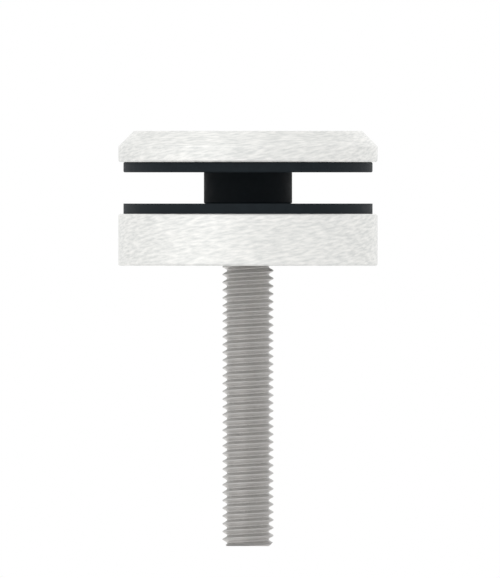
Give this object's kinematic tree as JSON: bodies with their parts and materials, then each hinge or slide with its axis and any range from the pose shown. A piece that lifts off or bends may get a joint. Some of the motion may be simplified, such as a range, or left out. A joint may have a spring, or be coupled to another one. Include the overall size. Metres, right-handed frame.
{
  "type": "glass panel standoff",
  "caption": "Round point fixing that holds a drilled glass panel off a wall between steel discs and rubber gaskets, drawn together by a long countersunk screw.",
  "frame": {"origin": "centre of the base disc's wall face, on the axis of the screw", "axes": "+Z along the screw's axis, out of the wall towards the room; the thread reaches below z = 0, into the wall"},
  "size_m": [0.05, 0.05, 0.08],
  "materials": {
    "disc_steel": "fine satin scratch, pale",
    "gasket_rubber": "matt moulded",
    "screw_steel": "rolled thread, turned head"
  },
  "bodies": {
    "base": {"base_disc": "disc_steel", "rear_gasket": "gasket_rubber"},
    "front_clamp": {"front_disc": "disc_steel", "front_gasket": "gasket_rubber"},
    "screw": {"countersunk_screw": "screw_steel"}
  },
  "joints": [
    {"name": "clamp_travel", "type": "slide", "parent": "base", "child": "front_clamp", "axis": [0, 0, 1], "range_m": [0, 0.054]},
    {"name": "screw_turn", "type": "hinge", "parent": "front_clamp", "child": "screw", "pos_m": [0, 0, 0.026], "axis": [0, 0, 1], "range_deg": [0, 12960]}
  ],
  "couplings": [
    {"joint": "screw_turn", "follows": "clamp_travel", "rad_per_m": 4188.8}
  ]
}
